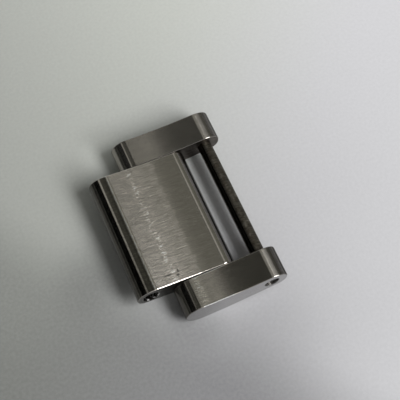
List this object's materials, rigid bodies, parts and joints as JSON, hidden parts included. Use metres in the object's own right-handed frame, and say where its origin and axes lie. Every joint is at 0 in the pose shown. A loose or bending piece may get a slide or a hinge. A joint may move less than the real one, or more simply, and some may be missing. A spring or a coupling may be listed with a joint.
{
  "type": "watch bracelet link",
  "caption": "Solid steel watch bracelet link: a wide centre link swings on a fixed pin between outer links, and a slotted screw carries the next link.",
  "frame": {"origin": "under the middle of the part, on the surface it lies on", "axes": "+X from the open bore towards the link screw, Y along the pins with the screw's head on the -Y side, +Z out of the links' top faces"},
  "size_m": [0.0148, 0.02, 0.004],
  "materials": {
    "centre_link_steel": "brushed along the bracelet on top, with bright broken edges",
    "outer_link_steel": "satin, finely brushed",
    "pin_steel": "plain ground",
    "screw_steel": "turned, dulled brown-grey by wear"
  },
  "bodies": {
    "outer_frame": {"outer_link_head_side": "outer_link_steel", "outer_link_thread_side": "outer_link_steel", "pivot_pin": "pin_steel"},
    "centre": {"centre_link": "centre_link_steel"},
    "screw": {"link_screw": "screw_steel"}
  },
  "joints": [
    {"name": "centre_link_hinge", "type": "hinge", "parent": "outer_frame", "child": "centre", "pos_m": [-0.00014, 0, 0.002], "axis": [0, 1, 0], "range_deg": [-164, 148]},
    {"name": "link_screw_slide", "type": "slide", "parent": "outer_frame", "child": "screw", "axis": [0, -1, 0], "range_m": [0, 0.0168]}
  ]
}
